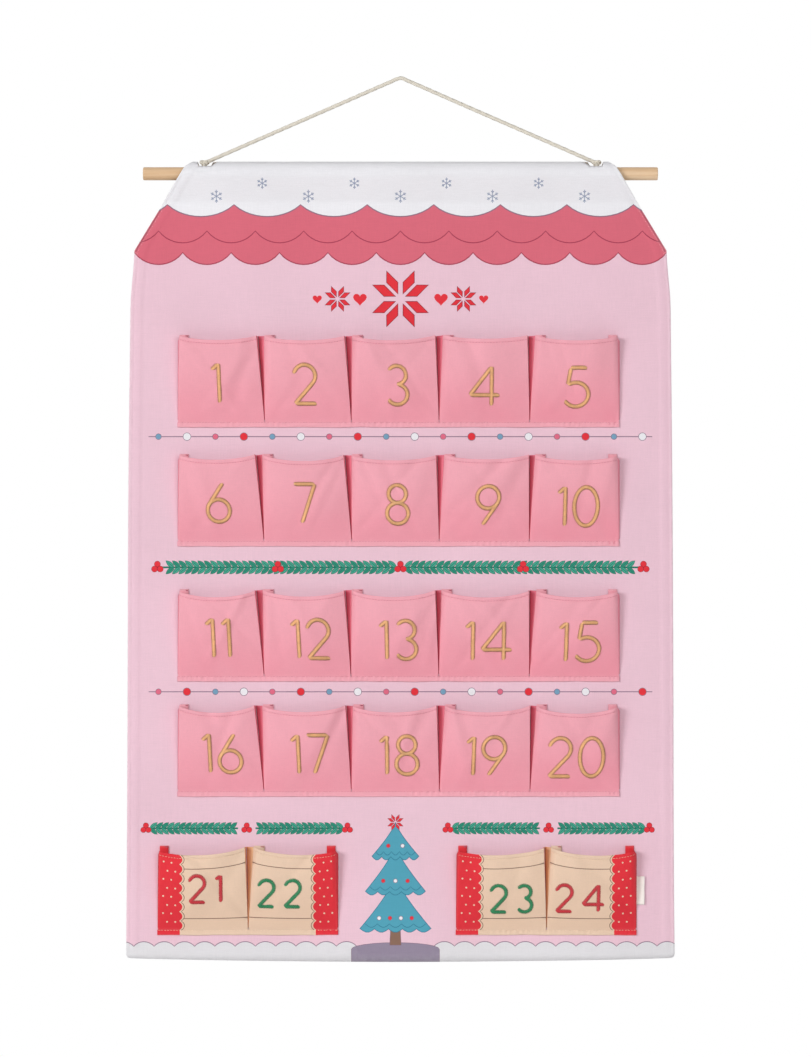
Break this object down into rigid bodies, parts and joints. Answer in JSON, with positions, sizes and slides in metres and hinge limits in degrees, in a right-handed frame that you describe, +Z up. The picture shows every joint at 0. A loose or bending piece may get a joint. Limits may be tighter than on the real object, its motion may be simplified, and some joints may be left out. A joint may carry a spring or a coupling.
{
  "type": "cloth advent calendar",
  "caption": "House-shaped cloth wall banner with rows of numbered pleated pockets, a dowel in a top sleeve and a hanging cord.",
  "frame": {"origin": "where a nail or hook carries the cord, at the underside of its apex", "axes": "+Z up along the hanging cloth, -Y out of its printed front, +X to the right as seen from the front"},
  "size_m": [0.501, 0.0264, 0.8056],
  "materials": {
    "cord": "twisted undyed cotton",
    "dowel": "plain sanded beech",
    "panel": "printed woven cotton, matt",
    "roof": "printed woven cotton, matt",
    "lining": "plain woven cotton, matt",
    "pocket": "printed woven cotton, matt, with gold stitching",
    "lower": "printed woven cotton, matt, with coloured stitching",
    "pocket_pleat": "printed woven cotton, matt, in shade",
    "lower_pleat": "printed woven cotton, matt, in shade",
    "label": "woven tape, blank"
  },
  "bodies": {
    "hanger": {"hanging_cord": "cord"},
    "dowel": {"dowel": "dowel"},
    "banner": {"front_panel": "panel", "back_lining": "lining", "dowel_sleeve": "roof", "side_label": "label", "pleat_01_left": "pocket_pleat", "pleat_01_02": "pocket_pleat", "pleat_02_03": "pocket_pleat", "pleat_03_04": "pocket_pleat", "pleat_04_05": "pocket_pleat", "pleat_05_right": "pocket_pleat", "pleat_06_left": "pocket_pleat", "pleat_06_07": "pocket_pleat", "pleat_07_08": "pocket_pleat", "pleat_08_09": "pocket_pleat", "pleat_09_10": "pocket_pleat", "pleat_10_right": "pocket_pleat", "pleat_11_left": "pocket_pleat", "pleat_11_12": "pocket_pleat", "pleat_12_13": "pocket_pleat", "pleat_13_14": "pocket_pleat", "pleat_14_15": "pocket_pleat", "pleat_15_right": "pocket_pleat", "pleat_16_left": "pocket_pleat", "pleat_16_17": "pocket_pleat", "pleat_17_18": "pocket_pleat", "pleat_18_19": "pocket_pleat", "pleat_19_20": "pocket_pleat", "pleat_20_right": "pocket_pleat", "pleat_21_left": "lower_pleat", "pleat_21_22": "lower_pleat", "pleat_22_right": "lower_pleat", "pleat_23_left": "lower_pleat", "pleat_23_24": "lower_pleat", "pleat_24_right": "lower_pleat"},
    "pocket_01": {"pocket_01_front": "pocket"},
    "pocket_02": {"pocket_02_front": "pocket"},
    "pocket_03": {"pocket_03_front": "pocket"},
    "pocket_04": {"pocket_04_front": "pocket"},
    "pocket_05": {"pocket_05_front": "pocket"},
    "pocket_06": {"pocket_06_front": "pocket"},
    "pocket_07": {"pocket_07_front": "pocket"},
    "pocket_08": {"pocket_08_front": "pocket"},
    "pocket_09": {"pocket_09_front": "pocket"},
    "pocket_10": {"pocket_10_front": "pocket"},
    "pocket_11": {"pocket_11_front": "pocket"},
    "pocket_12": {"pocket_12_front": "pocket"},
    "pocket_13": {"pocket_13_front": "pocket"},
    "pocket_14": {"pocket_14_front": "pocket"},
    "pocket_15": {"pocket_15_front": "pocket"},
    "pocket_16": {"pocket_16_front": "pocket"},
    "pocket_17": {"pocket_17_front": "pocket"},
    "pocket_18": {"pocket_18_front": "pocket"},
    "pocket_19": {"pocket_19_front": "pocket"},
    "pocket_20": {"pocket_20_front": "pocket"},
    "pocket_21": {"pocket_21_front": "lower"},
    "pocket_22": {"pocket_22_front": "lower"},
    "pocket_23": {"pocket_23_front": "lower"},
    "pocket_24": {"pocket_24_front": "lower"}
  },
  "joints": [
    {"name": "dowel_slide", "type": "slide", "parent": "hanger", "child": "dowel", "axis": [1, 0, 0], "range_m": [-0.05, 0.05]},
    {"name": "banner_swing", "type": "hinge", "parent": "hanger", "child": "banner", "pos_m": [0, 0, -0.0856], "axis": [-1, 0, 0], "range_deg": [0, 30]},
    {"name": "pocket_01_open", "type": "hinge", "parent": "banner", "child": "pocket_01", "pos_m": [-0.163, -0.00145, -0.3128], "axis": [1, 0, 0], "range_deg": [0, 12], "stiffness_Nm_per_rad": 0.02, "springref_deg": -2.86},
    {"name": "pocket_02_open", "type": "hinge", "parent": "banner", "child": "pocket_02", "pos_m": [-0.0824, -0.00145, -0.3128], "axis": [1, 0, 0], "range_deg": [0, 12], "stiffness_Nm_per_rad": 0.02, "springref_deg": -2.86},
    {"name": "pocket_03_open", "type": "hinge", "parent": "banner", "child": "pocket_03", "pos_m": [-0.0018, -0.00145, -0.3128], "axis": [1, 0, 0], "range_deg": [0, 12], "stiffness_Nm_per_rad": 0.02, "springref_deg": -2.86},
    {"name": "pocket_04_open", "type": "hinge", "parent": "banner", "child": "pocket_04", "pos_m": [0.0788, -0.00145, -0.3128], "axis": [1, 0, 0], "range_deg": [0, 12], "stiffness_Nm_per_rad": 0.02, "springref_deg": -2.86},
    {"name": "pocket_05_open", "type": "hinge", "parent": "banner", "child": "pocket_05", "pos_m": [0.1594, -0.00145, -0.3128], "axis": [1, 0, 0], "range_deg": [0, 12], "stiffness_Nm_per_rad": 0.02, "springref_deg": -2.86},
    {"name": "pocket_06_open", "type": "hinge", "parent": "banner", "child": "pocket_06", "pos_m": [-0.163, -0.00145, -0.4215], "axis": [1, 0, 0], "range_deg": [0, 12], "stiffness_Nm_per_rad": 0.02, "springref_deg": -2.86},
    {"name": "pocket_07_open", "type": "hinge", "parent": "banner", "child": "pocket_07", "pos_m": [-0.0824, -0.00145, -0.4215], "axis": [1, 0, 0], "range_deg": [0, 12], "stiffness_Nm_per_rad": 0.02, "springref_deg": -2.86},
    {"name": "pocket_08_open", "type": "hinge", "parent": "banner", "child": "pocket_08", "pos_m": [-0.0018, -0.00145, -0.4215], "axis": [1, 0, 0], "range_deg": [0, 12], "stiffness_Nm_per_rad": 0.02, "springref_deg": -2.86},
    {"name": "pocket_09_open", "type": "hinge", "parent": "banner", "child": "pocket_09", "pos_m": [0.0788, -0.00145, -0.4215], "axis": [1, 0, 0], "range_deg": [0, 12], "stiffness_Nm_per_rad": 0.02, "springref_deg": -2.86},
    {"name": "pocket_10_open", "type": "hinge", "parent": "banner", "child": "pocket_10", "pos_m": [0.1594, -0.00145, -0.4215], "axis": [1, 0, 0], "range_deg": [0, 12], "stiffness_Nm_per_rad": 0.02, "springref_deg": -2.86},
    {"name": "pocket_11_open", "type": "hinge", "parent": "banner", "child": "pocket_11", "pos_m": [-0.163, -0.00145, -0.5449], "axis": [1, 0, 0], "range_deg": [0, 12], "stiffness_Nm_per_rad": 0.02, "springref_deg": -2.86},
    {"name": "pocket_12_open", "type": "hinge", "parent": "banner", "child": "pocket_12", "pos_m": [-0.0824, -0.00145, -0.5449], "axis": [1, 0, 0], "range_deg": [0, 12], "stiffness_Nm_per_rad": 0.02, "springref_deg": -2.86},
    {"name": "pocket_13_open", "type": "hinge", "parent": "banner", "child": "pocket_13", "pos_m": [-0.0018, -0.00145, -0.5449], "axis": [1, 0, 0], "range_deg": [0, 12], "stiffness_Nm_per_rad": 0.02, "springref_deg": -2.86},
    {"name": "pocket_14_open", "type": "hinge", "parent": "banner", "child": "pocket_14", "pos_m": [0.0788, -0.00145, -0.5449], "axis": [1, 0, 0], "range_deg": [0, 12], "stiffness_Nm_per_rad": 0.02, "springref_deg": -2.86},
    {"name": "pocket_15_open", "type": "hinge", "parent": "banner", "child": "pocket_15", "pos_m": [0.1594, -0.00145, -0.5449], "axis": [1, 0, 0], "range_deg": [0, 12], "stiffness_Nm_per_rad": 0.02, "springref_deg": -2.86},
    {"name": "pocket_16_open", "type": "hinge", "parent": "banner", "child": "pocket_16", "pos_m": [-0.163, -0.00145, -0.65], "axis": [1, 0, 0], "range_deg": [0, 12], "stiffness_Nm_per_rad": 0.02, "springref_deg": -2.86},
    {"name": "pocket_17_open", "type": "hinge", "parent": "banner", "child": "pocket_17", "pos_m": [-0.0824, -0.00145, -0.65], "axis": [1, 0, 0], "range_deg": [0, 12], "stiffness_Nm_per_rad": 0.02, "springref_deg": -2.86},
    {"name": "pocket_18_open", "type": "hinge", "parent": "banner", "child": "pocket_18", "pos_m": [-0.0018, -0.00145, -0.65], "axis": [1, 0, 0], "range_deg": [0, 12], "stiffness_Nm_per_rad": 0.02, "springref_deg": -2.86},
    {"name": "pocket_19_open", "type": "hinge", "parent": "banner", "child": "pocket_19", "pos_m": [0.0788, -0.00145, -0.65], "axis": [1, 0, 0], "range_deg": [0, 12], "stiffness_Nm_per_rad": 0.02, "springref_deg": -2.86},
    {"name": "pocket_20_open", "type": "hinge", "parent": "banner", "child": "pocket_20", "pos_m": [0.1594, -0.00145, -0.65], "axis": [1, 0, 0], "range_deg": [0, 12], "stiffness_Nm_per_rad": 0.02, "springref_deg": -2.86},
    {"name": "pocket_21_open", "type": "hinge", "parent": "banner", "child": "pocket_21", "pos_m": [-0.1805, -0.00145, -0.7764], "axis": [1, 0, 0], "range_deg": [0, 12], "stiffness_Nm_per_rad": 0.02, "springref_deg": -2.86},
    {"name": "pocket_22_open", "type": "hinge", "parent": "banner", "child": "pocket_22", "pos_m": [-0.0983, -0.00145, -0.7764], "axis": [1, 0, 0], "range_deg": [0, 12], "stiffness_Nm_per_rad": 0.02, "springref_deg": -2.86},
    {"name": "pocket_23_open", "type": "hinge", "parent": "banner", "child": "pocket_23", "pos_m": [0.0919, -0.00145, -0.7764], "axis": [1, 0, 0], "range_deg": [0, 12], "stiffness_Nm_per_rad": 0.02, "springref_deg": -2.86},
    {"name": "pocket_24_open", "type": "hinge", "parent": "banner", "child": "pocket_24", "pos_m": [0.1741, -0.00145, -0.7764], "axis": [1, 0, 0], "range_deg": [0, 12], "stiffness_Nm_per_rad": 0.02, "springref_deg": -2.86}
  ]
}
